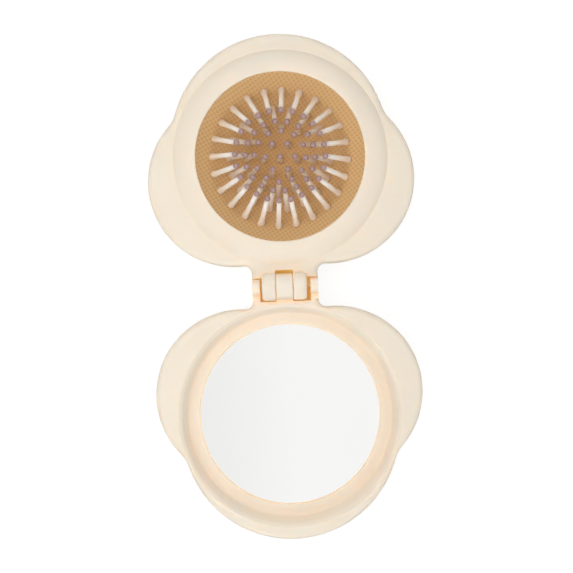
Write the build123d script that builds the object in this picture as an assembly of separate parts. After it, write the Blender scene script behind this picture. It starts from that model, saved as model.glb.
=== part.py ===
"""Folding pocket hairbrush with a mirror lid.

Two three-lobed half cases are joined by a pinned hinge and lie open, backs down.
The brush half carries a rubber air cushion with 61 ball-tipped pins, which snaps
inside out through its rim. The mirror half is the lid, with a glass in a round well.

Frame: +Y points to the brush half, +Z out of the open inner faces, X along the hinge.
The origin is under the hinge pin, on the surface that both backs rest on. All in mm.
"""

import os
from math import asin, atan, cos, degrees, radians, sin, sqrt, tan

from build123d import *

# ---------------------------------------------------------------- driving dimensions
# half case, seen from above, built outwards from the cushion opening
CUSHION_R = 25.0  # opening that shows the cushion
BOSS_BAND = 6.8  # width of the domed boss round the opening
HINGE_REACH = 6.47  # from the hinge axis to the boss
FRONT_FLANGE = 4.93  # from the boss to the front edge
SIDE_FLANGE = 7.75  # from the boss to the side edges
FRONT_LOBE_MORE = 0.4  # by which the front lobe is wider than the boss
SIDE_LOBE_LESS = 6.65  # by which the side lobes are narrower than the boss
SIDE_LOBE_BACK = 6.67  # from the boss centre back to the side lobe centres
LOBE_FILLET = 9.5  # in the two notches between front and side lobes
REAR_FILLET = 3.0  # in the notch behind the hinge neck
NECK_HALF_WIDTH = 9.75
NECK_FILLET = 2.5

# half case, seen from the side
HALF_DEPTH = 14.8  # from the flat back to the hinge axis
CLOSING_GAP = 0.3  # between the two inner faces of the shut case
SEAM_Z = 7.8  # joint line between back shell and face frame
WALL = 1.6
BACK_WALL = 1.6
PLATE = 1.6  # face plate
BACK_ROUND = 4.5
FACE_ROUND = 1.6
SEAM_CHAMFER = 0.2
END_BEVEL = 1.0  # width of the bevel under the neck's end
TONGUE_WALL = 0.75
TONGUE_HEIGHT = 1.2
TONGUE_CLEAR = 0.05

# round boss of the brush half, which nests in the round well of the mirror half
BOSS_HEIGHT = 2.6
BOSS_LAND = 0.6  # level ring beside the opening
LIP = 0.9  # thickness of the boss edge over the cushion
LIP_EDGE = 0.25
GATE_MARK_OUT = 1.45  # from the boss to the shallow round mark of the moulding gate
GATE_MARK_ANGLE = -14.4  # from +X, about the boss centre
GATE_MARK_R = 0.9
GATE_MARK_DEPTH = 0.15

# air cushion: the slope grows with the radius, so it is flattest in the middle
CUSHION_WALL = 1.0
RIM_WIDTH = 3.0
RIM_CLEAR = 0.1
SLOPE = 0.888  # fall per run at the outer pins
SLOPE_POWER = 1.8
PROFILE_STEPS = 8

# rings of pins, from the outer to the centre ring, round one middle pin
RING_COUNTS = (24, 18, 12, 6)
RING_ANGLES = (3.4, 14.0, 5.0, 31.0)  # clockwise from +Y to each ring's first pin
RING_MARGIN = 4.5  # from the opening's edge to the outer ring
RING_STEP = 5.1
PAIR = 2  # inner pins that share a foot
PIN_LENGTH = 11.0  # cushion to the middle of the ball
BALL_R = 0.9
SHAFT_R = 0.75
COLLAR_R = 1.12
COLLAR_HEIGHT = 1.8
SHANK_R = 0.55
FOOT_R = 1.3
FOOT_THICK = 0.8
SHANK_CLEAR = 0.05
SEAT_CLEAR = 0.05

# clamp ring behind the cushion's rim
CLAMP_WALL = 2.2
CLAMP_DEPTH = 3.3
CLAMP_EAR_THICK = 1.4
CLAMP_EAR_R = 2.3
SCREW_OUT = 2.1  # from the cushion's rim to the screws
SCREW_COUNT = 4
SCREW_R = 0.9
SCREW_GRIP = 1.5  # thread depth in the face frame
SCREW_TIP_CLEAR = 0.1
SCREW_HEAD_R = 1.8
SCREW_HEAD_HEIGHT = 1.2
SCREW_HEAD_ROUND = 0.4
SCREW_SLOT = 0.5
THREAD_CLEAR = 0.02

# round opening in the back, for the finger that turns the cushion
FINGER_R = 12.0
FINGER_EDGE = 0.7

# round well and glass of the mirror half
WELL_CLEAR = 0.3  # round the boss when shut
WELL_EDGE = 1.0  # bevel round its mouth
WELL_EDGE_FILLET = 1.5  # between bevel and wall
WELL_TAPER = 1.6  # by which the well narrows to its foot
WELL_DEPTH = 5.2
WELL_FOOT_FILLET = 1.4
LEDGE_DEPTH = 5.9
LEDGE_WIDTH = 3.3
GLASS_THICK = 1.8
GLASS_DEPTH = 6.2
GLASS_CLEAR = 0.03
GLASS_BEVEL = 0.3
PAD_MARGIN = 2.2  # by which the foam is smaller than the glass
PAD_THICK = 0.5
DISH_WALL = 1.1

# hinge: two lugs on the brush half, a knuckle and two cheeks on the mirror half
HINGE_SHIFT = -0.25  # middle of the knuckle, along the axis
KNUCKLE_WIDTH = 5.0
KNUCKLE_R = 3.9
KNUCKLE_POCKET_CLEAR = 0.95
SIDE_GAP = 0.12
LUG_WIDTH = 4.0
LUG_R = 4.1
LUG_POCKET_CLEAR = 0.36
LUG_ROUND = 1.0
CHEEK_INNER = 7.45
CHEEK_R = 2.3
CHEEK_POCKET_CLEAR = 0.36
KNUCKLE_ROUND = 0.25
STOP_GAP = 0.3  # between the two necks when open
PIN_R = 1.0
PIN_END = 0.3  # pin ends lie this far inside the lugs
PIN_PRESS_CLEAR = 0.01
PIN_RUN_CLEAR = 0.05
PIN_CHAMFER = 0.2

# ---------------------------------------------------------------- derived places
BOSS_R = CUSHION_R + BOSS_BAND
BOSS_Y = HINGE_REACH + BOSS_R
FRONT_LOBE_R = BOSS_R + FRONT_LOBE_MORE
FRONT_LOBE_Y = BOSS_Y + BOSS_R + FRONT_FLANGE - FRONT_LOBE_R
SIDE_LOBE_R = BOSS_R - SIDE_LOBE_LESS
SIDE_LOBE_X = BOSS_R + SIDE_FLANGE - SIDE_LOBE_R
SIDE_LOBE_Y = BOSS_Y - SIDE_LOBE_BACK
AXIS_Z = HALF_DEPTH
FACE_Z = HALF_DEPTH - CLOSING_GAP / 2
BOSS_TOP_Z = FACE_Z + BOSS_HEIGHT
RIM_Z = BOSS_TOP_Z - LIP  # plane of the cushion's rim, about which it turns inside out
RIM_R = CUSHION_R + RIM_WIDTH
SCREW_PCD_R = RIM_R + SCREW_OUT
OUTER, MIDDLE, INNER, CENTRE = range(len(RING_COUNTS))
RING_RADII = [CUSHION_R - RING_MARGIN - ring * RING_STEP for ring in range(len(RING_COUNTS))]
SLOPE_FACTOR = SLOPE / RING_RADII[OUTER] ** SLOPE_POWER
FALL_FACTOR = SLOPE_FACTOR / (SLOPE_POWER + 1)
HALF_POP = FALL_FACTOR * CUSHION_R ** (SLOPE_POWER + 1)  # depth of the turned-in cushion
HOLE_R = SHANK_R + SHANK_CLEAR
WELL_R = BOSS_R + WELL_CLEAR
WELL_FOOT_R = WELL_R - WELL_TAPER
GLASS_R = WELL_FOOT_R - LEDGE_WIDTH
PAD_R = GLASS_R - PAD_MARGIN
KNUCKLE_X = (HINGE_SHIFT - KNUCKLE_WIDTH / 2, HINGE_SHIFT + KNUCKLE_WIDTH / 2)
LEFT_LUG_X = (KNUCKLE_X[0] - SIDE_GAP - LUG_WIDTH, KNUCKLE_X[0] - SIDE_GAP)
RIGHT_LUG_X = (KNUCKLE_X[1] + SIDE_GAP, KNUCKLE_X[1] + SIDE_GAP + LUG_WIDTH)
NECK_END = STOP_GAP / 2
LEFT_CHEEK_X = (-NECK_HALF_WIDTH, -CHEEK_INNER)
RIGHT_CHEEK_X = (CHEEK_INNER, NECK_HALF_WIDTH)
FAR = 200.0  # larger than the part
NEAR = 0.01  # how closely a corner or an edge is matched when it is picked by its place


def fall(radius):
    """Depth of the turned-in cushion below its rim plane, at a radius from its centre."""
    return HALF_POP - FALL_FACTOR * radius ** (SLOPE_POWER + 1)


def lean(radius):
    """Slope angle of the cushion, in radians, which is also how far a pin leans inwards."""
    return atan(SLOPE_FACTOR * radius**SLOPE_POWER)


# ---------------------------------------------------------------- half case
def lobes():
    """Plan outline of a half case without its neck."""
    ahead = Pos(0, BOSS_Y) * Rectangle(FAR, FAR, align=(Align.CENTER, Align.MIN))
    disc = Pos(0, FRONT_LOBE_Y) * Circle(FRONT_LOBE_R) & ahead
    for side in (-1, 1):
        disc += Pos(side * SIDE_LOBE_X, SIDE_LOBE_Y) * Circle(SIDE_LOBE_R)
    outline = Sketch() + disc.face()
    notches = [v for v in outline.vertices() if v.Y > FRONT_LOBE_Y]
    outline = fillet(notches, LOBE_FILLET)
    rear = [v for v in outline.vertices() if abs(v.X) < NEAR and v.Y < SIDE_LOBE_Y]
    return fillet(rear, REAR_FILLET)


def lobes_with_neck():
    """Plan outline of a half case with the neck that reaches to the hinge."""
    neck = Rectangle(
        2 * NECK_HALF_WIDTH, SIDE_LOBE_Y - NECK_END, align=(Align.CENTER, Align.MIN)
    )
    outline = lobes() + Pos(0, NECK_END) * neck
    outline = Sketch() + outline.face()
    corners = [
        v
        for v in outline.vertices()
        if abs(abs(v.X) - NECK_HALF_WIDTH) < NEAR and v.Y > NECK_END + NECK_FILLET
    ]
    return fillet(corners, NECK_FILLET)


def prism(outline, low, high):
    """Upright solid over a plan outline, between two heights."""
    return extrude(Pos(0, 0, low) * outline, high - low)


def inset(outline, distance):
    """Plan outline moved inwards."""
    return offset(outline, -distance, kind=Kind.ARC)


def rim_edges(solid, height):
    """Edges of a solid that lie level at a height."""
    return [
        e
        for e in solid.edges()
        if abs(e.bounding_box().min.Z - height) < NEAR
        and abs(e.bounding_box().max.Z - height) < NEAR
    ]


def side_edges(solid, height):
    """Edges of a solid that lie level at a height, but for the straight one at the neck's end."""
    edges = rim_edges(solid, height)
    end = min(e.center().Y for e in edges)
    return [e for e in edges if e.center().Y > end + NEAR]


def tongue(outline, clear=0.0):
    """Standing rib on the back shell's seam, or its groove when a clearance is given."""
    outer = inset(outline, WALL - TONGUE_WALL - clear)
    inner = inset(outline, WALL + clear)
    return prism(outer, SEAM_Z, SEAM_Z + TONGUE_HEIGHT + clear) - prism(inner, SEAM_Z, FACE_Z)


def back_shell():
    """Outer shell of a half case: flat back, rounded edge and a tongue at the seam."""
    outline = lobes_with_neck()
    outer = prism(outline, 0, SEAM_Z)
    outer = fillet(side_edges(outer, 0), BACK_ROUND)
    outer = chamfer(rim_edges(outer, SEAM_Z), SEAM_CHAMFER)
    outer -= Pos(0, NECK_END, 0) * Rot(45, 0, 0) * Box(FAR, END_BEVEL, END_BEVEL)
    cavity = prism(inset(outline, WALL), BACK_WALL, SEAM_Z)
    cavity = fillet(side_edges(cavity, BACK_WALL), BACK_ROUND - WALL)
    return outer - cavity + tongue(outline)


def face_block():
    """Face frame of a half case before its boss or well and its hinge features."""
    outline = lobes_with_neck()
    block = prism(outline, SEAM_Z, FACE_Z)
    block = fillet(side_edges(block, FACE_Z), FACE_ROUND)
    block = chamfer(rim_edges(block, SEAM_Z), SEAM_CHAMFER)
    cavity = prism(inset(lobes(), WALL), SEAM_Z, FACE_Z - PLATE)
    return block - cavity - tongue(outline, TONGUE_CLEAR)


# ---------------------------------------------------------------- hinge
def barrel(x_range, radius, rounds=()):
    """Round bar on the hinge axis. rounds lists (end, radius) of its rounded end edges."""
    width = x_range[1] - x_range[0]
    bar = Pos(x_range[0], 0, AXIS_Z) * (Rot(0, 90, 0) * Cylinder(
        radius, width, align=(Align.CENTER, Align.CENTER, Align.MIN)
    ))
    for end, size in rounds:
        circles = bar.edges().filter_by(GeomType.CIRCLE)
        edges = [e for e in circles if abs(e.center().X - end) < NEAR]
        bar = fillet(edges, size)
    return bar


def arm(x_range, radius, reach):
    """Web that joins a barrel to its neck, below the face."""
    return Pos(x_range[0], 0, AXIS_Z - radius) * Box(
        x_range[1] - x_range[0],
        reach,
        FACE_Z - AXIS_Z + radius,
        align=(Align.MIN, Align.MIN, Align.MIN),
    )


def widened(x_range, gap):
    """An x range with a gap added at each end."""
    return (x_range[0] - gap, x_range[1] + gap)


def lugs():
    """The brush half's two lugs."""
    reach = LUG_R + WALL
    solid = arm(LEFT_LUG_X, LUG_R, reach) + arm(RIGHT_LUG_X, LUG_R, reach)
    for x_range, outer, inner in ((LEFT_LUG_X, 0, 1), (RIGHT_LUG_X, 1, 0)):
        rounds = [(x_range[outer], LUG_ROUND), (x_range[inner], KNUCKLE_ROUND)]
        solid += barrel(x_range, LUG_R, rounds)
    return solid


def lug_pockets():
    """Room for the lugs in the mirror half."""
    left = (LEFT_CHEEK_X[1], KNUCKLE_X[0])
    right = (KNUCKLE_X[1], RIGHT_CHEEK_X[0])
    return barrel(left, LUG_R + LUG_POCKET_CLEAR) + barrel(right, LUG_R + LUG_POCKET_CLEAR)


def knuckles():
    """The mirror half's knuckle and cheeks, built to the +Y side like the brush half."""
    ends = [(KNUCKLE_X[0], KNUCKLE_ROUND), (KNUCKLE_X[1], KNUCKLE_ROUND)]
    solid = barrel(KNUCKLE_X, KNUCKLE_R, ends) + arm(KNUCKLE_X, KNUCKLE_R, LUG_R + WALL)
    for x_range in (LEFT_CHEEK_X, RIGHT_CHEEK_X):
        solid += barrel(x_range, CHEEK_R) + arm(x_range, CHEEK_R, CHEEK_R + WALL)
    return solid


def knuckle_pockets():
    """Room for the knuckle and the cheeks in the brush half."""
    room = barrel(widened(KNUCKLE_X, SIDE_GAP), KNUCKLE_R + KNUCKLE_POCKET_CLEAR)
    cheek_room = CHEEK_R + CHEEK_POCKET_CLEAR
    room += barrel((-FAR, LEFT_LUG_X[0]), cheek_room)
    room += barrel((RIGHT_LUG_X[1], FAR), cheek_room)
    return room


def hinge_pin():
    """Steel pin, pressed into the mirror half and free to turn in the lugs."""
    pin = barrel((LEFT_LUG_X[0] + PIN_END, RIGHT_LUG_X[1] - PIN_END), PIN_R)
    return chamfer(pin.edges().filter_by(GeomType.CIRCLE), PIN_CHAMFER)


# ---------------------------------------------------------------- brush half
def turned(profile):
    """Solid turned about the boss centre from a profile drawn as (radius, height)."""
    return Pos(0, BOSS_Y, 0) * revolve(Plane.XZ * profile, Axis.Z)


def boss():
    """Domed round boss, with a level land beside the cushion opening."""
    land_r = CUSHION_R + BOSS_LAND
    run = BOSS_R - land_r
    dome_r = (run**2 + BOSS_HEIGHT**2) / (2 * BOSS_HEIGHT)
    half_way = asin(run / dome_r) / 2
    middle = (
        land_r + dome_r * sin(half_way),
        BOSS_TOP_Z - dome_r * (1 - cos(half_way)),
    )
    under = FACE_Z - PLATE
    edge = Polyline(
        (BOSS_R, FACE_Z), (BOSS_R, under), (0, under), (0, BOSS_TOP_Z), (land_r, BOSS_TOP_Z)
    )
    dome = ThreePointArc((land_r, BOSS_TOP_Z), middle, (BOSS_R, FACE_Z))
    return turned(make_face([*edge.edges(), dome]))


def clamp_ear_places(height):
    """Places of the clamp screws at a height, between the axes of the case."""
    step = 360 / SCREW_COUNT
    return [
        Pos(0, BOSS_Y, height) * Rot(0, 0, step * (i + 0.5)) * Pos(SCREW_PCD_R, 0, 0)
        for i in range(SCREW_COUNT)
    ]


def upright(radius, height):
    """Cylinder that stands on its place."""
    return Cylinder(radius, height, align=(Align.CENTER, Align.CENTER, Align.MIN))


def brush_face_frame():
    """Face plate of the brush half with its boss, cushion seat and hinge lugs."""
    frame = face_block() - knuckle_pockets() + lugs() + boss()
    frame -= barrel((-FAR, FAR), PIN_R + PIN_RUN_CLEAR)
    centre = Pos(0, BOSS_Y, RIM_Z)
    frame -= centre * upright(CUSHION_R, FAR)
    frame -= Pos(0, BOSS_Y, SEAM_Z) * upright(RIM_R + RIM_CLEAR, RIM_Z - SEAM_Z)
    lip = [
        e
        for e in frame.edges().filter_by(GeomType.CIRCLE)
        if abs(e.radius - CUSHION_R) < NEAR and abs(e.center().Z - BOSS_TOP_Z) < NEAR
    ]
    frame = fillet(lip, LIP_EDGE)
    for place in clamp_ear_places(FACE_Z - PLATE):
        frame -= place * upright(SCREW_R + THREAD_CLEAR, SCREW_GRIP + SCREW_TIP_CLEAR)
    mark = Pos(BOSS_R + GATE_MARK_OUT, 0) * upright(GATE_MARK_R, WALL)
    return frame - Pos(0, BOSS_Y, FACE_Z - GATE_MARK_DEPTH) * Rot(0, 0, GATE_MARK_ANGLE) * mark


def brush_back_shell():
    """Back of the brush half, with the finger opening behind the cushion."""
    shell = back_shell() - Pos(0, BOSS_Y, 0) * upright(FINGER_R, BACK_WALL)
    edges = [
        e
        for e in shell.edges().filter_by(GeomType.CIRCLE)
        if abs(e.radius - FINGER_R) < NEAR
    ]
    return fillet(edges, FINGER_EDGE)


def cushion_clamp_ring():
    """Ring that clamps the cushion's rim, with an ear for each screw."""
    top = RIM_Z - CUSHION_WALL - SEAT_CLEAR
    bottom = top - CLAMP_DEPTH
    ear_top = FACE_Z - PLATE
    ring = Pos(0, BOSS_Y, bottom) * (
        upright(RIM_R, CLAMP_DEPTH) - upright(RIM_R - CLAMP_WALL, CLAMP_DEPTH)
    )
    web = SCREW_PCD_R - RIM_R + CLAMP_WALL / 2
    for place in clamp_ear_places(ear_top - CLAMP_EAR_THICK):
        ear = upright(CLAMP_EAR_R, CLAMP_EAR_THICK)
        ear += Box(
            web,
            2 * CLAMP_EAR_R,
            CLAMP_EAR_THICK,
            align=(Align.MAX, Align.CENTER, Align.MIN),
        )
        ring += place * ear
        ring -= place * upright(SCREW_R + SHANK_CLEAR, CLAMP_EAR_THICK)
    return ring


def clamp_screw():
    """Pan-head screw, head down, with its seat at height zero."""
    shank = upright(SCREW_R, CLAMP_EAR_THICK + SCREW_GRIP)
    head = Pos(0, 0, -SCREW_HEAD_HEIGHT) * upright(SCREW_HEAD_R, SCREW_HEAD_HEIGHT)
    low = head.edges().filter_by(GeomType.CIRCLE).sort_by(Axis.Z)[0]
    head = fillet(low, SCREW_HEAD_ROUND)
    slot_z = -SCREW_HEAD_HEIGHT + SCREW_SLOT / 2
    slot = Pos(0, 0, slot_z) * Box(FAR, SCREW_SLOT, SCREW_SLOT)
    return shank + head - slot


def clamp_screws():
    """The clamp ring's screws, as separate solids."""
    screw = clamp_screw()
    seat = FACE_Z - PLATE - CLAMP_EAR_THICK
    return Compound([place * screw for place in clamp_ear_places(seat)])


# ---------------------------------------------------------------- air cushion and pins
def cushion_wall():
    """Section of the cushion's dished wall from its centre hole, as (radius, height)."""
    step = (CUSHION_R - HOLE_R) / PROFILE_STEPS
    radii = [HOLE_R + step * i for i in range(PROFILE_STEPS + 1)]
    front = [(r, RIM_Z - fall(r)) for r in radii]
    back = [
        (r + CUSHION_WALL * sin(lean(r)), RIM_Z - fall(r) - CUSHION_WALL * cos(lean(r)))
        for r in radii
    ]
    ends = [(cos(lean(r)), sin(lean(r))) for r in (HOLE_R, CUSHION_R)]
    front_line = Spline(*front, tangents=ends)
    back_line = Spline(*back, tangents=ends)
    return make_face([front_line, Line(front[-1], back[-1]), back_line, Line(back[0], front[0])])


def pin_place(radius, clockwise=0.0):
    """Where a pin stands on the cushion: +Z along the pin, from the cushion's surface."""
    leaning = Rot(0, -degrees(lean(radius)), 0)
    out = Pos(radius, 0, RIM_Z - fall(radius))
    return Pos(0, BOSS_Y, 0) * Rot(0, 0, 90 - clockwise) * out * leaning


def ring_places(ring):
    """Places of a ring's pins, clockwise."""
    return [pin_place(RING_RADII[ring], angle) for angle in ring_angles(ring)]


def ring_angles(ring):
    """Clockwise angles of a ring's pins."""
    count = RING_COUNTS[ring]
    return [RING_ANGLES[ring] + i * 360 / count for i in range(count)]


def bristle_pin():
    """One pin: foot behind the cushion, shank through it, flared shaft and ball tip."""
    foot_top = -CUSHION_WALL - SEAT_CLEAR
    neck_height = PIN_LENGTH - sqrt(BALL_R**2 - SHAFT_R**2)
    side = Polyline(
        (0, foot_top - FOOT_THICK),
        (FOOT_R, foot_top - FOOT_THICK),
        (FOOT_R, foot_top),
        (SHANK_R, foot_top),
        (SHANK_R, SEAT_CLEAR),
        (COLLAR_R, SEAT_CLEAR),
        (SHAFT_R, COLLAR_HEIGHT),
        (SHAFT_R, neck_height),
    )
    ball = ThreePointArc(
        (SHAFT_R, neck_height), (BALL_R, PIN_LENGTH), (0, PIN_LENGTH + BALL_R)
    )
    middle = Line((0, PIN_LENGTH + BALL_R), (0, foot_top - FOOT_THICK))
    profile = make_face([*side.edges(), ball, middle])
    return revolve(Plane.XZ * profile, Axis.Z)


def air_cushion():
    """Rubber cushion, turned in, with a hole for each pin."""
    drill = Cylinder(HOLE_R, 2 * CUSHION_WALL + FOOT_THICK)
    holes = [place * drill for ring in range(len(RING_COUNTS)) for place in ring_places(ring)]
    rim = Pos(0, BOSS_Y, RIM_Z - CUSHION_WALL) * (
        upright(RIM_R, CUSHION_WALL) - upright(CUSHION_R, CUSHION_WALL)
    )
    return turned(cushion_wall()) + rim - holes


def pin_nodes():
    """Every pin node by name: single pins, inner pairs and the centre group."""
    pin = bristle_pin()
    nodes = {}
    for name, ring in (("outer_pin", OUTER), ("middle_pin", MIDDLE)):
        for i, place in enumerate(ring_places(ring), 1):
            nodes[f"{name}_{i:02d}"] = place * pin
    inner = [place * pin for place in ring_places(INNER)]
    for i in range(len(inner) // PAIR):
        nodes[f"inner_pins_{i + 1:02d}"] = Compound(inner[PAIR * i : PAIR * (i + 1)])
    centre = [place * pin for place in [pin_place(0), *ring_places(CENTRE)]]
    nodes["centre_pins"] = Compound(centre)
    return nodes


# ---------------------------------------------------------------- mirror half
def well_profile():
    """Section of the well, ledge and glass pocket that are cut from the face."""
    pocket_r = GLASS_R + GLASS_CLEAR
    pocket_z = FACE_Z - GLASS_DEPTH - GLASS_THICK - PAD_THICK
    shape = Polyline(
        (WELL_R + 2 * WELL_EDGE, FACE_Z + WELL_EDGE),
        (WELL_R, FACE_Z - WELL_EDGE),
        (WELL_FOOT_R, FACE_Z - WELL_DEPTH),
        (pocket_r, FACE_Z - LEDGE_DEPTH),
        (pocket_r, pocket_z),
        (0, pocket_z),
        (0, FACE_Z + WELL_EDGE),
        close=True,
    )
    profile = Sketch() + make_face(shape.edges())
    for radius, size in ((WELL_R, WELL_EDGE_FILLET), (WELL_FOOT_R, WELL_FOOT_FILLET)):
        corner = [v for v in profile.vertices() if abs(v.X - radius) < NEAR]
        profile = fillet(corner, size)
    return profile


def dish():
    """Wall of the well below the face plate, before the well is cut."""
    floor_z = FACE_Z - GLASS_DEPTH - GLASS_THICK - PAD_THICK - DISH_WALL
    pocket_r = GLASS_R + GLASS_CLEAR + DISH_WALL
    shape = Polyline(
        (0, FACE_Z - PLATE),
        (WELL_R + DISH_WALL, FACE_Z - PLATE),
        (WELL_FOOT_R + DISH_WALL, FACE_Z - WELL_DEPTH),
        (pocket_r, FACE_Z - LEDGE_DEPTH - DISH_WALL),
        (pocket_r, floor_z),
        (0, floor_z),
        close=True,
    )
    return turned(make_face(shape.edges()))


def mirror_face_frame():
    """Face plate of the mirror half with its well, hinge knuckle and cheeks."""
    frame = face_block() - lug_pockets() + knuckles() + dish()
    frame -= turned(well_profile())
    frame -= barrel((-FAR, FAR), PIN_R + PIN_PRESS_CLEAR)
    return frame


def mirror_glass():
    """Round glass, silvered behind, with a bevelled front edge."""
    low = FACE_Z - GLASS_DEPTH - GLASS_THICK
    glass = Pos(0, BOSS_Y, low) * upright(GLASS_R, GLASS_THICK)
    front = glass.edges().filter_by(GeomType.CIRCLE).sort_by(Axis.Z)[-1]
    return chamfer(front, GLASS_BEVEL)


def mirror_pad():
    """Adhesive foam that holds the glass."""
    low = FACE_Z - GLASS_DEPTH - GLASS_THICK - PAD_THICK
    return Pos(0, BOSS_Y, low) * upright(PAD_R, PAD_THICK)


def to_mirror_side(solid):
    """A piece built on the +Y side, moved to the mirror half by reflection."""
    return mirror(solid, about=Plane.XZ)


# ---------------------------------------------------------------- pin hinges
def pin_hinge(radius, spread=0.0):
    """Tangent hinge that turns a pin inside out with the cushion.

    Returns the axis's distance from the cushion centre and the full angle in degrees.
    spread is how far, in degrees, a pin stands to the side of the shared axis.
    """
    along = radius * cos(radians(spread))
    slope = tan(lean(radius)) * cos(radians(spread))
    return along + fall(radius) / slope, 2 * degrees(atan(slope))


def all_nodes():
    """Every piece of the part by its node name."""
    nodes = {
        "brush_back_shell": brush_back_shell(),
        "brush_face_frame": brush_face_frame(),
        "cushion_clamp_ring": cushion_clamp_ring(),
        "clamp_screws": clamp_screws(),
        "air_cushion": air_cushion(),
        "hinge_pin": hinge_pin(),
        "mirror_back_shell": to_mirror_side(back_shell()),
        "mirror_face_frame": to_mirror_side(mirror_face_frame()),
        "mirror_glass": to_mirror_side(mirror_glass()),
        "mirror_pad": to_mirror_side(mirror_pad()),
    }
    nodes.update(pin_nodes())
    return nodes


def main():
    """Write each piece to its own file and print the sizes that were worked out."""
    os.makedirs("parts", exist_ok=True)
    for name, solid in all_nodes().items():
        solid.label = name
        export_step(solid, f"parts/{name}.step")
    print(f"cushion travel {2 * HALF_POP:.2f} mm about the plane z = {RIM_Z:.2f} mm")
    for radius in RING_RADII[:CENTRE]:
        axis_r, angle = pin_hinge(radius)
        tip_r = radius - PIN_LENGTH * sin(lean(radius))
        tip_z = PIN_LENGTH * cos(lean(radius)) - fall(radius)
        print(f"ring {radius:.1f}: axis at {axis_r:.2f}, turn {angle:.2f} degrees")
        print(f"  tip at radius {tip_r:.2f}, {tip_z:.2f} from the rim plane")
    print(f"case length {2 * (FRONT_LOBE_Y + FRONT_LOBE_R):.1f} mm")


main()
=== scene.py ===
# %% [markdown]
# # A folding pocket hairbrush with a mirror lid
# The real object is a palm-sized case of two moulded halves on one steel hinge pin.
# It lies open here. One half holds a rubber air cushion, turned in like a bowl, with
# 61 nylon pins; the other half is the lid, with a round glass in a well.
# The cases, hinge, glass and screws come from the CAD model and keep their shapes.
# Blender gives them their finishes, and models what is soft or finely turned: the
# rubber cushion, the foam behind the glass and the moulded pins.

# %% Load the CAD model
import math

import bmesh
import bpy
from mathutils import Matrix, Vector


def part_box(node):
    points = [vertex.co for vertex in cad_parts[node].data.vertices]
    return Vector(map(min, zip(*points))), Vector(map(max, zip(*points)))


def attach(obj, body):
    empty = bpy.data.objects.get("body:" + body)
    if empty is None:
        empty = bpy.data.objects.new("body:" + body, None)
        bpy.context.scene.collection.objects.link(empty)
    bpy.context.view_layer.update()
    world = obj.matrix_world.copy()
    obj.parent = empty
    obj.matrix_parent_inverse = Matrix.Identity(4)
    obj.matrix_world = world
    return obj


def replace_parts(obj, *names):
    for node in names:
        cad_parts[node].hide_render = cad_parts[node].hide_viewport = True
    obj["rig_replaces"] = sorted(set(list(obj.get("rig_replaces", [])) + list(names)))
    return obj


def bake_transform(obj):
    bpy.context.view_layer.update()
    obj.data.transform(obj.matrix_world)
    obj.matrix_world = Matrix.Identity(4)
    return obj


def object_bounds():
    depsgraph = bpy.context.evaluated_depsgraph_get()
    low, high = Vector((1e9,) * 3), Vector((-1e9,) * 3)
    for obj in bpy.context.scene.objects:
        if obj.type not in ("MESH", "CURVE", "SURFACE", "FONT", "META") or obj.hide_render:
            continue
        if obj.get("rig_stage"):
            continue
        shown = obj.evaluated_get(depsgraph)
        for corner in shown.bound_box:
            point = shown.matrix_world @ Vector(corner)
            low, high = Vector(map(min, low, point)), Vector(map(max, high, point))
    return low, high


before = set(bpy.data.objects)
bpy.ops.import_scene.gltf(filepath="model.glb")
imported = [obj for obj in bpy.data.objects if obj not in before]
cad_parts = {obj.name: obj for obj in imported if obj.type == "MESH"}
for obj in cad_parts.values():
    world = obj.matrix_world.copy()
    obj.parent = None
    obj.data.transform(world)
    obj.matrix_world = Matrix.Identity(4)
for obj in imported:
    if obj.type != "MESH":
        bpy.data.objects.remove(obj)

MM = 0.001
cad_low, cad_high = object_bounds()
size_mm = [round((high - low) / MM, 2) for low, high in zip(cad_low, cad_high)]
print("the CAD model measures", size_mm, "mm")

# %% [markdown]
# ## The camera
# The open case is seen from straight above, a little over a third of a metre up, so
# the eye looks slightly into the well and the bowl on their far sides.
# A camera can be aimed with a constraint, but one that looks straight down needs only
# its height and a small turn about the vertical, so those are written directly.

# %% Camera
CAMERA_HEIGHT = 350 * MM  # above the hinge axis
VIEW_WIDTH = 169.3 * MM  # what the picture is wide, at the height of the hinge axis
CAMERA_OFFSET = Vector((0.38, -0.05, 0)) * MM
CAMERA_TURN = math.radians(-2.27)
SENSOR_WIDTH = 36  # of a full-frame camera, in the millimetres that Blender takes

pin_low, pin_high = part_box("hinge_pin")
hinge_axis = (pin_low + pin_high) / 2
hinge_axis.x = 0

camera_data = bpy.data.cameras.new("camera")
camera_data.sensor_width = SENSOR_WIDTH
camera_data.lens = SENSOR_WIDTH * CAMERA_HEIGHT / VIEW_WIDTH
camera = bpy.data.objects.new("camera", camera_data)
camera.location = hinge_axis + CAMERA_OFFSET + Vector((0, 0, CAMERA_HEIGHT))
camera.rotation_euler = (0, 0, CAMERA_TURN)
bpy.context.scene.collection.objects.link(camera)
bpy.context.scene.camera = camera
print("the lens is", round(camera_data.lens, 1), "mm")

# %% [markdown]
# ## Colours and nodes
# Colours are written the way a paint program shows them, as sRGB hex values. The
# renderer adds light, so it needs linear values, and one function converts them.
# A second function adds one shader node with its settings and its links, which keeps
# each material as short as a recipe.

# %% Colour and node helpers
def linear(hex_colour):
    """A hex colour such as #F0E4CC as linear red, green, blue and alpha."""
    parts = [int(hex_colour[i : i + 2], 16) / 255 for i in (1, 3, 5)]
    return [c / 12.92 if c <= 0.04045 else ((c + 0.055) / 1.055) ** 2.4 for c in parts] + [1]


def add_node(tree, kind, inputs=None, **settings):
    """Adds a node. inputs maps a socket to a value, or to the output that feeds it."""
    node = tree.nodes.new(kind)
    for name, value in settings.items():
        setattr(node, name, value)
    for name, value in (inputs or {}).items():
        if isinstance(value, bpy.types.NodeSocket):
            tree.links.new(value, node.inputs[name])
        else:
            node.inputs[name].default_value = value
    return node


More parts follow.
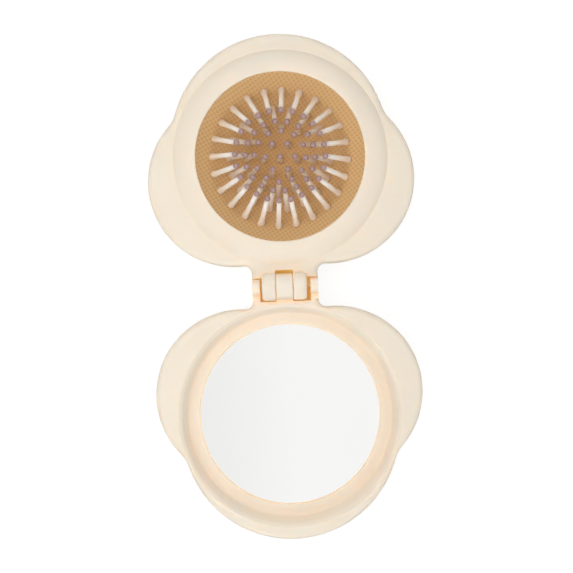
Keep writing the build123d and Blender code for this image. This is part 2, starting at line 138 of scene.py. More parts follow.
def new_material(name):
    """An empty node material, and its tree."""
    material = bpy.data.materials.new(name)
    material.use_nodes = True
    material.node_tree.nodes.clear()
    return material, material.node_tree


def noise_scale(grain_mm):
    """Noise scale that gives features of about this size."""
    return 1 / (grain_mm * MM)


# %% [markdown]
# ## Moulded ABS, cream
# Compact cases like this one are injection-moulded ABS, tinted cream in the mass. The
# mould is lightly spark-eroded, so the skin is satin: highlights are broad and soft.
# Tinted ABS passes light, red furthest and blue least. Blender has two ways to draw
# that. The random walk follows the light through the wall, but loses it in a shell as
# thin as this and turns it green. The surface method (Burley) spreads the light along
# the skin instead, which suits a thin moulding, so it is used here.
# Where the plastic faces plastic, the light has been through it several times before
# it leaves, and its colour deepens. That light is painted into the base colour: peach
# in the lid's deep well, beside a glass that throws the light back, and gold in the
# narrow slits of the hinge. An ambient occlusion node finds such sheltered places, from
# any side that one looks. Deep in a slit, most of the light there is comes through the
# walls, which neither method draws across a gap, so a faint golden emission, a painted glow, stands
# for it.
# The real grain is near 0.05 mm. It is drawn at 0.25 mm, so that it shows at all.

# %% Cream ABS
ABS_GRAIN = 0.25
ABS_CLOUD = 14.0
ABS_FLOW = 2.0 * MM  # how far light spreads in the plastic
SHELTER_REACH = 6.0 * MM  # how near another surface has to be to shelter this one
SHELTER_SAMPLES = 8
CORNER_FROM, CORNER_TO = 0.5, 0.95  # open share of the surroundings, from corner to open
SLIT_FROM, SLIT_TO = 0.05, 0.4  # likewise, from slit to corner
GLOSS_FROM, GLOSS_TO = 0.34, 0.44  # roughness of the satin skin
# The third colour is painted light, the base colour deep in the hinge's slits.
CREAM, CREAM_CLOUD, SLIT_PAINTED_LIGHT_GOLD = "#F2E7D6", "#F0E4D0", "#FFEAA2"
# Painted glow: a golden emission in the slits, for the light that comes through their walls.
SLIT_PAINTED_GLOW_COLOUR, SLIT_PAINTED_GLOW = "#FFC040", 0.065  # light that comes through the walls of a slit


def moulded_abs(name, corner_painted_light_hex):
    """Satin cream ABS, with the light painted into its sheltered corners and slits."""
    material, tree = new_material(name)
    place = add_node(tree, "ShaderNodeTexCoord")
    cloud = add_node(
        tree,
        "ShaderNodeTexNoise",
        {"Vector": place.outputs["Object"], "Scale": noise_scale(ABS_CLOUD), "Detail": 2.0},
    )
    tint = add_node(
        tree,
        "ShaderNodeMix",
        {"Factor": cloud.outputs["Fac"], "A": linear(CREAM), "B": linear(CREAM_CLOUD)},
        data_type="RGBA",
    )
    shelter = add_node(
        tree,
        "ShaderNodeAmbientOcclusion",
        {"Distance": SHELTER_REACH},
        samples=SHELTER_SAMPLES,
    )
    corner = add_node(
        tree,
        "ShaderNodeMapRange",
        {"Value": shelter.outputs["AO"], "From Min": CORNER_FROM, "From Max": CORNER_TO},
    )
    # Painted light: where the surroundings are sheltered, the base colour turns to the corner
    # colour.
    corner_painted_light = add_node(
        tree,
        "ShaderNodeMix",
        {"Factor": corner.outputs["Result"], "A": linear(corner_painted_light_hex), "B": tint.outputs["Result"]},
        data_type="RGBA",
    )
    # Painted light: deep in a slit, the base colour turns gold.
    slit = add_node(
        tree,
        "ShaderNodeMapRange",
        {"Value": shelter.outputs["AO"], "From Min": SLIT_FROM, "From Max": SLIT_TO},
    )
    slit_painted_light = add_node(
        tree,
        "ShaderNodeMix",
        {"Factor": slit.outputs["Result"], "A": linear(SLIT_PAINTED_LIGHT_GOLD), "B": corner_painted_light.outputs["Result"]},
        data_type="RGBA",
    )
    # Painted glow: deep in a slit, the plastic emits a faint golden light.
    through = add_node(
        tree,
        "ShaderNodeMapRange",
        {"Value": slit.outputs["Result"], "To Min": SLIT_PAINTED_GLOW, "To Max": 0.0},
    )
    grain = add_node(
        tree,
        "ShaderNodeTexNoise",
        {"Vector": place.outputs["Object"], "Scale": noise_scale(ABS_GRAIN), "Detail": 1.0},
    )
    gloss = add_node(
        tree,
        "ShaderNodeMapRange",
        {"Value": grain.outputs["Fac"], "To Min": GLOSS_FROM, "To Max": GLOSS_TO},
    )
    skin = add_node(
        tree,
        "ShaderNodeBump",
        {"Height": grain.outputs["Fac"], "Strength": 0.06, "Distance": 0.02 * MM},
    )
    shader = add_node(
        tree,
        "ShaderNodeBsdfPrincipled",
        {
            "Base Color": slit_painted_light.outputs["Result"],
            "Roughness": gloss.outputs["Result"],
            "Normal": skin.outputs["Normal"],
            "IOR": 1.53,
            "Subsurface Weight": 1.0,
            "Subsurface Radius": (1.0, 0.5, 0.2),
            "Subsurface Scale": ABS_FLOW,
            "Emission Color": linear(SLIT_PAINTED_GLOW_COLOUR),
            "Emission Strength": through.outputs["Result"],
        },
        subsurface_method="BURLEY",
    )
    add_node(tree, "ShaderNodeOutputMaterial", {"Surface": shader.outputs["BSDF"]})
    print("made", name)
    return material


# The second colour is painted light, the base colour of sheltered corners; the lid's is peach, for
# its well.
abs_cream = moulded_abs("abs_moulded_satin_cream", "#EEDDC6")
abs_cream_lid = moulded_abs("abs_moulded_satin_cream_lid", "#FBD4A9")

# %% [markdown]
# ## Silvered glass
# A mirror is float glass, silvered and painted behind. What the eye gets is the silver
# seen through the glass: a clear image, a touch less bright than what it shows. The
# simplest true-looking model is one metal surface of silver's brightness under a thin
# clear coat for the glass.
# The edge is ground, not silvered. It is told apart by its normal, and is pale and
# matt, with a faint painted glow for the light that reaches it through the glass.

# %% Mirror
FLAT_NORMAL = 0.95  # the ground edge leans further than this from upright
# Painted glow: the ground edge emits a little white light.
EDGE_PAINTED_GLOW = 0.12  # light that the glass carries inside it to its ground edge
EDGE_ROUGH, FACE_ROUGH = 0.55, 0.015
GLASS_RIPPLE = 30.0

silvered_glass, tree = new_material("glass_float_silvered")
place = add_node(tree, "ShaderNodeTexCoord")
ripple = add_node(
    tree,
    "ShaderNodeTexNoise",
    {"Vector": place.outputs["Object"], "Scale": noise_scale(GLASS_RIPPLE), "Detail": 1.0},
)
silver_tint = add_node(
    tree,
    "ShaderNodeMix",
    {"Factor": ripple.outputs["Fac"], "A": linear("#F7F7F5"), "B": linear("#F9F9F8")},
    data_type="RGBA",
)
facing = add_node(tree, "ShaderNodeSeparateXYZ", {"Vector": place.outputs["Normal"]})
flat = add_node(
    tree,
    "ShaderNodeMath",
    {0: facing.outputs["Z"], 1: FLAT_NORMAL},
    operation="GREATER_THAN",
)
face_tint = add_node(
    tree,
    "ShaderNodeMix",
    {"Factor": flat.outputs["Value"], "A": linear("#FAF3E6"), "B": silver_tint.outputs["Result"]},
    data_type="RGBA",
)
face_gloss = add_node(
    tree,
    "ShaderNodeMapRange",
    {"Value": flat.outputs["Value"], "To Min": EDGE_ROUGH, "To Max": FACE_ROUGH},
)
# Painted glow: only the ground edge emits.
edge_painted_glow = add_node(
    tree,
    "ShaderNodeMapRange",
    {"Value": flat.outputs["Value"], "To Min": EDGE_PAINTED_GLOW, "To Max": 0.0},
)
shader = add_node(
    tree,
    "ShaderNodeBsdfPrincipled",
    {
        "Base Color": face_tint.outputs["Result"],
        "Metallic": flat.outputs["Value"],
        "Roughness": face_gloss.outputs["Result"],
        "Coat Weight": 0.5,
        "Coat Roughness": 0.01,
        "Emission Color": linear("#FFFFFF"),
        "Emission Strength": edge_painted_glow.outputs["Result"],
    },
)
add_node(tree, "ShaderNodeOutputMaterial", {"Surface": shader.outputs["BSDF"]})
print("made", silvered_glass.name)

# %% [markdown]
# ## Drawn steel
# The hinge pin is a length of drawn wire, and the screws are cold-headed from it. The
# die leaves fine scratches along the wire, so the noise is stretched along X.

# %% Steel
WIRE_SCRATCH = 0.12
WIRE_STRETCH = 0.02
WIRE_GLOSS_FROM, WIRE_GLOSS_TO = 0.22, 0.4

drawn_steel, tree = new_material("steel_drawn_wire")
place = add_node(tree, "ShaderNodeTexCoord")
along = add_node(
    tree,
    "ShaderNodeMapping",
    {"Vector": place.outputs["Object"], "Scale": (WIRE_STRETCH, 1, 1)},
)
scratch = add_node(
    tree,
    "ShaderNodeTexNoise",
    {"Vector": along.outputs["Vector"], "Scale": noise_scale(WIRE_SCRATCH), "Detail": 3.0},
)
gloss = add_node(
    tree,
    "ShaderNodeMapRange",
    {"Value": scratch.outputs["Fac"], "To Min": WIRE_GLOSS_FROM, "To Max": WIRE_GLOSS_TO},
)
shade = add_node(
    tree,
    "ShaderNodeMix",
    {"Factor": scratch.outputs["Fac"], "A": linear("#B9B8B4"), "B": linear("#D2D1CD")},
    data_type="RGBA",
)
shader = add_node(
    tree,
    "ShaderNodeBsdfPrincipled",
    {
        "Base Color": shade.outputs["Result"],
        "Metallic": 1.0,
        "Roughness": gloss.outputs["Result"],
    },
)
add_node(tree, "ShaderNodeOutputMaterial", {"Surface": shader.outputs["BSDF"]})
print("made", drawn_steel.name)

# %% [markdown]
# ## Clamp ring and foam
# Two plain hidden materials. The clamp ring is off-white polypropylene, waxy and a
# little translucent. The pad is double-sided PE foam tape, matt and full of cells.

# %% Polypropylene
FLOW_MARKS = 6.0

ring_plastic, tree = new_material("polypropylene_moulded_offwhite")
place = add_node(tree, "ShaderNodeTexCoord")
flow = add_node(
    tree,
    "ShaderNodeTexNoise",
    {"Vector": place.outputs["Object"], "Scale": noise_scale(FLOW_MARKS), "Detail": 2.0},
)
tint = add_node(
    tree,
    "ShaderNodeMix",
    {"Factor": flow.outputs["Fac"], "A": linear("#EEEBE2"), "B": linear("#E6E2D8")},
    data_type="RGBA",
)
shader = add_node(
    tree,
    "ShaderNodeBsdfPrincipled",
    {
        "Base Color": tint.outputs["Result"],
        "Roughness": 0.42,
        "IOR": 1.49,
        "Subsurface Weight": 0.2,
        "Subsurface Radius": (1.0, 0.9, 0.8),
        "Subsurface Scale": 1.5 * MM,
    },
)
add_node(tree, "ShaderNodeOutputMaterial", {"Surface": shader.outputs["BSDF"]})
print("made", ring_plastic.name)

# %% Foam
FOAM_CELL = 0.3

foam_tape, tree = new_material("foam_polyethylene_tape")
place = add_node(tree, "ShaderNodeTexCoord")
cells = add_node(
    tree,
    "ShaderNodeTexVoronoi",
    {"Vector": place.outputs["Object"], "Scale": noise_scale(FOAM_CELL)},
)
tint = add_node(
    tree,
    "ShaderNodeMix",
    {"Factor": cells.outputs["Distance"], "A": linear("#C9C8C3"), "B": linear("#EFEEEA")},
    data_type="RGBA",
)
dents = add_node(
    tree,
    "ShaderNodeBump",
    {"Height": cells.outputs["Distance"], "Strength": 0.5, "Distance": 0.1 * MM},
)
shader = add_node(
    tree,
    "ShaderNodeBsdfPrincipled",
    {"Base Color": tint.outputs["Result"], "Roughness": 0.9, "Normal": dents.outputs["Normal"]},
)
add_node(tree, "ShaderNodeOutputMaterial", {"Surface": shader.outputs["BSDF"]})
print("made", foam_tape.name)

# %% [markdown]
# ## Finishes for the CAD pieces
# The shells, the hinge pin, the glass, the ring and the screws keep their CAD meshes.
# Each gets its material in its own slot.

# %% Give the CAD pieces their finishes
finishes = {
    "brush_back_shell": abs_cream,
    "brush_face_frame": abs_cream,
    "mirror_back_shell": abs_cream,
    "mirror_face_frame": abs_cream_lid,
    "mirror_glass": silvered_glass,
    "cushion_clamp_ring": ring_plastic,
    "clamp_screws": drawn_steel,
    "hinge_pin": drawn_steel,
}
for name, material in finishes.items():
    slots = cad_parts[name].material_slots
    for slot in slots:
        slot.material = material
print("finished", len(finishes), "CAD pieces")

# %% [markdown]
# ## The foam disc behind the glass
# A die-cut disc of foam tape holds the glass. Squeezed between glass and floor, its
# edge bulges a little. It could be a plain cylinder, because it is hidden, but a turned
# profile with a round edge costs one line more and shows what foam does.
# A turned piece needs a profile and a number of steps round the axis. `lathe` takes
# both, and closes the profile to a point wherever it meets the axis.

# %% Turn a profile into a mesh
ON_AXIS = 1e-7  # a point nearer the axis than this lies on it


def lathe(name, profile, steps):
    """Mesh turned about Z from (radius, height) points. Returns it with one row per point."""
    mesh = bmesh.new()
    rows = []
    for radius, height in profile:
        if radius < ON_AXIS:
            rows.append([mesh.verts.new((0, 0, height))])
            continue
        angles = [2 * math.pi * step / steps for step in range(steps)]
        circle = [(radius * math.cos(a), radius * math.sin(a), height) for a in angles]
        rows.append([mesh.verts.new(point) for point in circle])
    for row, following in zip(rows, rows[1:]):
        for i in range(steps):
            j = (i + 1) % steps
            corners = [row[i % len(row)], following[i % len(following)]]
            corners += [following[j % len(following)], row[j % len(row)]]
            mesh.faces.new(list(dict.fromkeys(corners)))
    bmesh.ops.recalc_face_normals(mesh, faces=mesh.faces)
    data = bpy.data.meshes.new(name)
    mesh.to_mesh(data)
    mesh.free()
    data.polygons.foreach_set("use_smooth", [True] * len(data.polygons))
    return data


# %% The foam disc
FOAM_STEPS = 96
FOAM_EDGE_STEPS = 8

pad_low, pad_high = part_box("mirror_pad")
pad_r = (pad_high.x - pad_low.x) / 2
bulge = (pad_high.z - pad_low.z) / 2
turns = [math.pi * step / FOAM_EDGE_STEPS - math.pi / 2 for step in range(FOAM_EDGE_STEPS + 1)]
pad_edge = [(pad_r - bulge + bulge * math.cos(a), bulge * math.sin(a)) for a in turns]
pad_outline = [(0, -bulge), *pad_edge, (0, bulge)]
foam_disc = bpy.data.objects.new("foam_disc", lathe("foam_disc", pad_outline, FOAM_STEPS))
foam_disc.location = (pad_low + pad_high) / 2
bpy.context.scene.collection.objects.link(foam_disc)
foam_disc.data.materials.append(foam_tape)
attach(foam_disc, "mirror_half")
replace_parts(foam_disc, "mirror_pad")
print("the foam disc is", round(2 * bulge / MM, 2), "mm thick")

# %% [markdown]
# ## The rubber air cushion
# The cushion is a sheet of soft rubber, one millimetre thick, with its edge clamped
# under the lip of the boss. Turned in, it is a bowl, flattest in the middle; pushed
# from behind, it snaps inside out. Its skin has the crosshatch of the cloth that it
# was pressed against in its mould.
# A cloth simulation would find such a bowl by itself, but the pins have to stand on it
# exactly, so the sheet is turned from the same formula that places the pins.

# %% The bowl's form
cushion_low, cushion_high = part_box("air_cushion")
BOWL_CENTRE = Vector((0, (cushion_low.y + cushion_high.y) / 2, 0))
RIM_Z = cushion_high.z
RIM_R = (cushion_high.x - cushion_low.x) / 2
RIM_WIDTH = 3.0 * MM  # clamped under the lip
BOWL_R = RIM_R - RIM_WIDTH
SHEET = 1.0 * MM
SLOPE = 0.888  # fall per run under the outer ring of pins
SLOPE_POWER = 1.8
RING_MARGIN = 4.5 * MM
RING_STEP = 5.1 * MM
RING_COUNTS = (24, 18, 12, 6)
ring_radii = [BOWL_R - RING_MARGIN - ring * RING_STEP for ring in range(len(RING_COUNTS))]
slope_factor = SLOPE / ring_radii[0] ** SLOPE_POWER


def lean(radius):
    """Slope angle of the bowl at a radius."""
    return math.atan(slope_factor * radius**SLOPE_POWER)


def fall(radius):
    """Depth of the bowl below its rim at a radius."""
    power = SLOPE_POWER + 1
    return slope_factor / power * (BOWL_R**power - radius**power)


# %% [markdown]
# The sheet's profile runs from the middle of the front out to the rim, down, and back
# under it. Where each vertex would lie with the bowl turned out is then worked out,
# but kept nowhere.

# %% The cushion
BOWL_STEPS = 192
BOWL_RINGS = 48

radii = [BOWL_R * ring / BOWL_RINGS for ring in range(BOWL_RINGS + 1)]
front = [(r, RIM_Z - fall(r)) for r in radii]
rim = [(RIM_R, RIM_Z), (RIM_R, RIM_Z - SHEET)]
back = [(r + SHEET * math.sin(lean(r)), RIM_Z - fall(r) - SHEET * math.cos(lean(r))) for r in radii]
outline = front + rim + back[::-1]
cushion = bpy.data.objects.new("rubber_cushion", lathe("rubber_cushion", outline, BOWL_STEPS))
cushion.location = BOWL_CENTRE
bpy.context.scene.collection.objects.link(cushion)
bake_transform(cushion)

for vertex in cushion.data.vertices:
    radius = (vertex.co - BOWL_CENTRE).xy.length
    in_front = vertex.co.z > RIM_Z - fall(min(radius, BOWL_R)) - SHEET / 4
    turned_out = RIM_Z + fall(min(radius, BOWL_R))
    if not in_front:
        turned_out -= SHEET / math.cos(lean(min(radius, BOWL_R)))
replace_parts(cushion, "air_cushion")
print("the cushion has", len(cushion.data.polygons), "faces")

# %% [markdown]
# ## Natural rubber, tan, cloth-marked
# The threads of the cloth in the mould leave a plain weave: raised lines both ways,
# with a small dark pit where four meet. Two sets of sine bands, a quarter turn apart,
# give the lines, and the higher of the two is the height. The colour follows the height:
# a power of it is near nothing except along the crests, which are painted lightest, a
# painted highlight; the pits, where dust gathers, are painted darkest, partly painted
# shade. The pitch is 1.04 mm, and the cloth lay askew.

# %% Tan rubber
WEAVE_PITCH = 1.04
WEAVE_TURN = math.radians(-32)
BAND_PERIOD = 2 * math.pi / 20  # of Blender's band pattern at scale 1
CREST_POWER = 4.0  # how narrow the light line along each thread is
# Painted light: the bowl's middle, shaded by its depth and its pins, is painted paler.
MIDDLE_PAINTED_LIGHT = 1.25  # the sheet is palest in its middle
RUBBER_CLOUD = 9.0

tan_rubber, tree = new_material("rubber_natural_tan_cloth_marked")
place = add_node(tree, "ShaderNodeTexCoord")
askew = add_node(
    tree,
    "ShaderNodeMapping",
    {"Vector": place.outputs["Object"], "Rotation": (0, 0, WEAVE_TURN)},
)
threads = [
    add_node(
        tree,
        "ShaderNodeTexWave",
        {"Vector": askew.outputs["Vector"], "Scale": BAND_PERIOD / (WEAVE_PITCH * MM)},
        bands_direction=direction,
    )
    for direction in ("X", "Y")
]
weave = add_node(
    tree,
    "ShaderNodeMath",
    {0: threads[0].outputs["Fac"], 1: threads[1].outputs["Fac"]},
    operation="MAXIMUM",
)
cloud = add_node(
    tree,
    "ShaderNodeTexNoise",
    {"Vector": place.outputs["Object"], "Scale": noise_scale(RUBBER_CLOUD), "Detail": 3.0},
)
light_tan = add_node(
    tree,
    "ShaderNodeMix",
    {"Factor": cloud.outputs["Fac"], "A": linear("#DEB781"), "B": linear("#D7AF77")},
    data_type="RGBA",
)
# Painted highlight: the crests of the weave are painted lightest.
crest_painted_highlight = add_node(
    tree,
    "ShaderNodeMath",
    {0: weave.outputs["Value"], 1: CREST_POWER},
    operation="POWER",
)
# Painted shade, with dust: the pits of the weave are painted darkest.
ground = add_node(
    tree,
    "ShaderNodeMix",
    {"Factor": weave.outputs["Value"], "A": linear("#C89B66"), "B": linear("#D3A872")},
    data_type="RGBA",
)
level = add_node(
    tree,
    "ShaderNodeVectorMath",
    {0: place.outputs["Object"], 1: (1, 1, 0)},
    operation="MULTIPLY",
)
out = add_node(
    tree,
    "ShaderNodeVectorMath",
    {0: level.outputs["Vector"], 1: BOWL_CENTRE},
    operation="DISTANCE",
)
# Painted light: the colour is scaled up towards the bowl's middle.
middle = add_node(
    tree,
    "ShaderNodeMapRange",
    {
        "Value": out.outputs["Value"],
        "From Max": ring_radii[0],
        "To Min": MIDDLE_PAINTED_LIGHT,
        "To Max": 1.0,
    },
)
colour = add_node(
    tree,
    "ShaderNodeMix",
    {
        "Factor": crest_painted_highlight.outputs["Value"],
        "A": ground.outputs["Result"],
        "B": light_tan.outputs["Result"],
    },
    data_type="RGBA",
)
middle_painted_light = add_node(
    tree,
    "ShaderNodeVectorMath",
    {0: colour.outputs["Result"], "Scale": middle.outputs["Result"]},
    operation="SCALE",
)
relief = add_node(
    tree,
    "ShaderNodeBump",
    {"Height": weave.outputs["Value"], "Strength": 0.15, "Distance": 0.1 * MM},
)
shader = add_node(
    tree,
    "ShaderNodeBsdfPrincipled",
    {
        "Base Color": middle_painted_light.outputs["Vector"],
        "Roughness": 0.75,
        "IOR": 1.52,
        "Normal": relief.outputs["Normal"],
        "Sheen Weight": 0.1,
    },
)
add_node(tree, "ShaderNodeOutputMaterial", {"Surface": shader.outputs["BSDF"]})
cushion.data.materials.append(tan_rubber)
print("made", tan_rubber.name)

# %% [markdown]
# ## Nylon
# The pins are moulded in natural nylon, which is milky and lets light in from its
# sides. Their colour is painted tan at the thick collar, for the light that they get
# from the rubber and the shade low in the bowl, and fades to nearly white towards the
# tip. The ball tips are dipped mauve.

# %% Nylon shaft and tip
DIP_STREAK = 0.5

nylon, tree = new_material("nylon_moulded_natural")
along = add_node(tree, "ShaderNodeAttribute", attribute_name="along")
# Painted light and shade: tan at the foot, from the rubber's light and the bowl's shade, fading to
# white up the pin.
foot_painted_light = add_node(
    tree,
    "ShaderNodeMix",
    {"Factor": along.outputs["Fac"], "A": linear("#E0CBB5"), "B": linear("#FCF8F2")},
    data_type="RGBA",
)
shader = add_node(
    tree,
    "ShaderNodeBsdfPrincipled",
    {
        "Base Color": foot_painted_light.outputs["Result"],
        "Roughness": 0.3,
        "IOR": 1.53,
        "Subsurface Weight": 0.8,
        "Subsurface Radius": (1.0, 0.85, 0.75),
        "Subsurface Scale": 0.8 * MM,
    },
    subsurface_method="BURLEY",
)
add_node(tree, "ShaderNodeOutputMaterial", {"Surface": shader.outputs["BSDF"]})

mauve_dip, tree = new_material("nylon_dipped_mauve")
place = add_node(tree, "ShaderNodeTexCoord")
streak = add_node(
    tree,
    "ShaderNodeTexNoise",
    {"Vector": place.outputs["Object"], "Scale": noise_scale(DIP_STREAK), "Detail": 2.0},
)
tint = add_node(
    tree,
    "ShaderNodeMix",
    {"Factor": streak.outputs["Fac"], "A": linear("#A68583"), "B": linear("#B3948F")},
    data_type="RGBA",
)
shader = add_node(
    tree,
    "ShaderNodeBsdfPrincipled",
    {
        "Base Color": tint.outputs["Result"],
        "Roughness": 0.28,
        "IOR": 1.53,
        "Subsurface Weight": 0.2,
        "Subsurface Radius": (1.0, 0.8, 0.8),
        "Subsurface Scale": 0.4 * MM,
    },
)
add_node(tree, "ShaderNodeOutputMaterial", {"Surface": shader.outputs["BSDF"]})
print("made", nylon.name, "and", mauve_dip.name)

# %% [markdown]
# ## The bristle pins
# Every pin is the same moulding: a flat foot behind the rubber, a thin shank through
# it, a collar that flares where it meets the sheet, a slightly tapered shaft and a
# ball. One profile is turned once, and each node gets copies of it, laid where the
# bowl's formula puts them. A modifier could scatter the pins too, but each has to be
# a piece of its own, because each rides on a body of its own.

# %% The pin's profile
PIN_LENGTH = 11.0 * MM  # from the sheet to the middle of the ball
BALL_R = 0.9 * MM
PIN_STEPS = 24
NECK_R = 0.7 * MM
# Painted light and shade: where the tan painted at the foot has faded out.
PAINTED_TAN_END = 0.75  # share of the length where the shaft has lost the tan of its foot

FOOT = [(0, -1.85), (1.1, -1.85), (1.3, -1.65), (1.3, -1.05), (0.55, -1.05), (0.55, 0.03)]
COLLAR = [(0.95, 0.05), (1.07, 0.12), (1.12, 0.4), (1.06, 0.8)]
COLLAR += [(0.96, 1.3), (0.86, 1.9), (0.79, 2.7)]
SHAFT = [(0.76, 4.0), (0.74, 6.0), (0.72, 8.5)]
foot, collar, shaft = [[(r * MM, z * MM) for r, z in part] for part in (FOOT, COLLAR, SHAFT)]
ball_start = math.asin(NECK_R / BALL_R)
neck = [(NECK_R, PIN_LENGTH - BALL_R * math.cos(ball_start))]
BALL_RINGS = 10
ball = []
for ring in range(1, BALL_RINGS + 1):
    angle = ball_start + (math.pi - ball_start) * ring / BALL_RINGS
    ball.append((BALL_R * math.sin(angle), PIN_LENGTH - BALL_R * math.cos(angle)))
ball[-1] = (0, PIN_LENGTH + BALL_R)
pin_profile = foot + collar + shaft + neck + ball
print("the pin is", round((ball[-1][1] - foot[0][1]) / MM, 2), "mm long over all")

# %% Make the pins of one node
RING_ANGLES = (3.4, 14.0, 5.0, 31.0)  # clockwise from +Y to each ring's first pin


def pin_place(radius, clockwise):
    """Where a pin stands: Z along the pin, origin on the rubber."""
    turn = Matrix.Rotation(math.radians(90 - clockwise), 4, "Z")
    out = Matrix.Translation((radius, 0, RIM_Z - fall(radius)))
    inwards = Matrix.Rotation(-lean(radius), 4, "Y")
    return Matrix.Translation(BOWL_CENTRE) @ turn @ out @ inwards


def ring_places(ring):
    """The places of a ring's pins, clockwise."""
    count = RING_COUNTS[ring]
    angles = [RING_ANGLES[ring] + i * 360 / count for i in range(count)]
    return [pin_place(ring_radii[ring], angle) for angle in angles]


pin_mesh = lathe("pin", pin_profile, PIN_STEPS)
heights = [vertex.co.z for vertex in pin_mesh.vertices]
along = pin_mesh.attributes.new("along", "FLOAT", "POINT")
along.data.foreach_set("value", [min(max(z / (PAINTED_TAN_END * PIN_LENGTH), 0), 1) for z in heights])
pin_mesh.materials.append(nylon)
pin_mesh.materials.append(mauve_dip)
for face in pin_mesh.polygons:
    face.material_index = int(face.center.z > neck[0][1])


def make_pins(node, body, places):
    """One piece with a pin at each place, which stands for a CAD node."""
    mesh = bmesh.new()
    for place in places:
        part = pin_mesh.copy()
        part.transform(place)
        mesh.from_mesh(part)
        bpy.data.meshes.remove(part)
    data = bpy.data.meshes.new(node)
    mesh.to_mesh(data)
    mesh.free()
    data.materials.append(nylon)
    data.materials.append(mauve_dip)
    piece = bpy.data.objects.new(node + "_moulded", data)
    bpy.context.scene.collection.objects.link(piece)
    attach(piece, body)
    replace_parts(piece, node)
    return piece


# %% Make all 61 pins
pin_pieces = []
for name, ring in (("outer_pin", 0), ("middle_pin", 1)):
    for i, place in enumerate(ring_places(ring), 1):
        node = f"{name}_{i:02d}"
        pin_pieces.append(make_pins(node, node, [place]))
inner = ring_places(2)
for i in range(len(inner) // 2):
    node = f"inner_pins_{i + 1:02d}"
    pin_pieces.append(make_pins(node, node, inner[2 * i : 2 * i + 2]))
pin_pieces.append(make_pins("centre_pins", "cushion", [pin_place(0, 0), *ring_places(3)]))
bpy.data.meshes.remove(pin_mesh)

furthest = 0
for piece in pin_pieces:
    low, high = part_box(piece["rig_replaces"][0])
    corners = [Vector(corner) for corner in piece.bound_box]
    furthest = max(furthest, (corners[0] - low).length, (corners[6] - high).length)
print(len(pin_pieces), "pin pieces, at most", round(furthest / MM, 2), "mm off their CAD boxes")

# %% [markdown]
# ## Floor and light
# The case lies on a seamless white sheet. It looks pure white to the lens, because the
# part of its brightness that only the camera sees comes from Light Path, and it still
# takes the case's soft shadow. Under the thin gap between the two halves no light
# reaches it, so an ambient occlusion node takes its glow away there.
# Soft light suits pale satin plastic: forms read from gentle shading, and nothing burns
# out. One soft box hangs over the case, a little to its left, and is kept out of the
# mirror. Three low ones, right, near and far, light the walls of the well and the sides
# of the pins, over an even glow from all round.
# What the mirror shows is a white card, which dims a little to the left of straight
# up, as the edge of a card does, so that the glass reads as a glass.

# %% Floor
FLOOR_HALF = 1.5
GAP_REACH = 5.0 * MM  # how near the object has to be to wall the floor in
GAP_OPEN = 0.3  # open share of the surroundings from which the floor has its whole glow
FLOOR_GLOW = 0.87

floor_mesh = bpy.data.meshes.new("floor")
corners = [(x * FLOOR_HALF, y * FLOOR_HALF, 0) for x, y in ((-1, -1), (1, -1), (1, 1), (-1, 1))]
floor_mesh.from_pydata(corners, [], [(0, 1, 2, 3)])
floor = bpy.data.objects.new("floor", floor_mesh)
bpy.context.scene.collection.objects.link(floor)
floor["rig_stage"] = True

paper, tree = new_material("paper_matt_white")
path = add_node(tree, "ShaderNodeLightPath")
bounce = add_node(tree, "ShaderNodeBsdfDiffuse", {"Color": linear("#E4E3E0")})
shadowed = add_node(tree, "ShaderNodeBsdfDiffuse", {"Color": linear("#7C7C7C")})
covered = add_node(
    tree,
    "ShaderNodeAmbientOcclusion",
    {"Distance": GAP_REACH},
    samples=SHELTER_SAMPLES,
)
open_floor = add_node(
    tree,
    "ShaderNodeMapRange",
    {"Value": covered.outputs["AO"], "From Max": GAP_OPEN, "To Max": FLOOR_GLOW},
)
glow = add_node(
    tree,
    "ShaderNodeEmission",
    {"Color": linear("#FFFFFF"), "Strength": open_floor.outputs["Result"]},
)
seen = add_node(
    tree,
    "ShaderNodeAddShader",
    {0: shadowed.outputs["BSDF"], 1: glow.outputs["Emission"]},
)
surface = add_node(
    tree,
    "ShaderNodeMixShader",
    {0: path.outputs["Is Camera Ray"], 1: bounce.outputs["BSDF"], 2: seen.outputs["Shader"]},
)
add_node(tree, "ShaderNodeOutputMaterial", {"Surface": surface.outputs["Shader"]})
floor_mesh.materials.append(paper)
print("made the floor")

# %% World
AMBIENT = 0.32  # the even glow's strength as light
WHITE_SEEN = 0.985  # its strength to the eye and in the mirror
SWEEP_FROM, SWEEP_TO = -0.09, 0.0  # how far left of straight up the card dims
CARD_TOP, CARD_END = 0.97, 0.85  # upward part of the directions where the card fades out

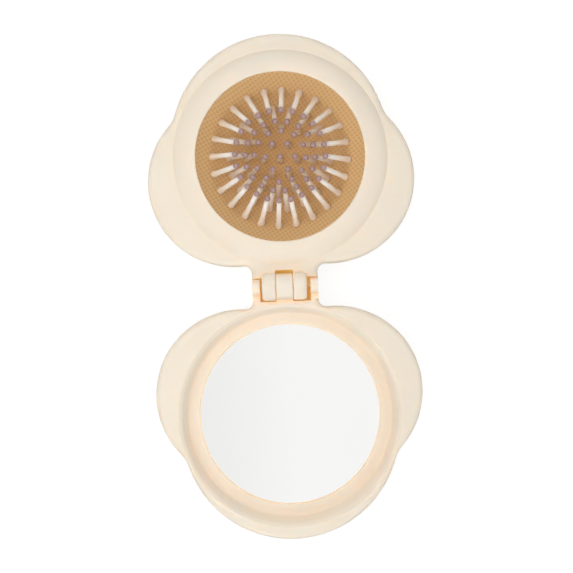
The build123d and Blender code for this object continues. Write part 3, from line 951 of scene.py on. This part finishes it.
world = bpy.data.worlds.new("studio")
bpy.context.scene.world = world
world.use_nodes = True
tree = world.node_tree
tree.nodes.clear()
path = add_node(tree, "ShaderNodeLightPath")
direct = add_node(
    tree,
    "ShaderNodeMath",
    {0: path.outputs["Is Camera Ray"], 1: path.outputs["Is Glossy Ray"]},
    operation="MAXIMUM",
)
in_sight = add_node(
    tree,
    "ShaderNodeMath",
    {0: direct.outputs["Value"], 1: path.outputs["Is Transmission Ray"]},
    operation="MAXIMUM",
)
ambient = add_node(tree, "ShaderNodeBackground", {"Color": linear("#FFFFFF"), "Strength": AMBIENT})
sight = add_node(tree, "ShaderNodeTexCoord")
sides = add_node(tree, "ShaderNodeSeparateXYZ", {"Vector": sight.outputs["Generated"]})
sweep = add_node(
    tree,
    "ShaderNodeMapRange",
    {"Value": sides.outputs["X"], "From Min": SWEEP_FROM, "From Max": SWEEP_TO},
)
beyond = add_node(
    tree,
    "ShaderNodeMapRange",
    {"Value": sides.outputs["Z"], "From Min": CARD_TOP, "From Max": CARD_END},
)
full_white = add_node(
    tree,
    "ShaderNodeMath",
    {0: sweep.outputs["Result"], 1: beyond.outputs["Result"]},
    operation="MAXIMUM",
)
card = add_node(
    tree,
    "ShaderNodeMix",
    {"Factor": full_white.outputs["Value"], "A": linear("#F3F3F2"), "B": linear("#FEFEFE")},
    data_type="RGBA",
)
white = add_node(
    tree,
    "ShaderNodeBackground",
    {"Color": card.outputs["Result"], "Strength": WHITE_SEEN},
)
sky = add_node(
    tree,
    "ShaderNodeMixShader",
    {
        0: in_sight.outputs["Value"],
        1: ambient.outputs["Background"],
        2: white.outputs["Background"],
    },
)
add_node(tree, "ShaderNodeOutputWorld", {"Surface": sky.outputs["Shader"]})
print("made the world")

# %% Soft boxes
LOW_BOX, FAR_BOX, TOP_BOX = 0.4, 0.8, 0.26  # sides of the square boxes, in metres


def soft_box(name, place, side, watts):
    """A square white soft box that faces the middle of the case."""
    data = bpy.data.lights.new(name, "AREA")
    data.size = side
    data.energy = watts
    light = bpy.data.objects.new(name, data)
    light.location = place
    light.rotation_euler = Vector(place).to_track_quat("Z", "Y").to_euler()
    bpy.context.scene.collection.objects.link(light)
    return light


overhead = soft_box("softbox_above", (-0.12, -0.01, 0.3), TOP_BOX, watts=0.54)
overhead.visible_glossy = False
soft_box("softbox_right", (0.9, 0.0, 0.56), FAR_BOX, watts=1.9)
soft_box("softbox_near", (0.0, -0.45, 0.28), LOW_BOX, watts=0.68)
soft_box("softbox_far", (0.0, 0.45, 0.28), LOW_BOX, watts=0.47)
print("made the lights")

# %% View transform and the visual model's size
bpy.context.scene.view_settings.view_transform = "Standard"
low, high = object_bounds()
print("the visual model measures", [round((h - l) / MM, 2) for l, h in zip(low, high)], "mm")
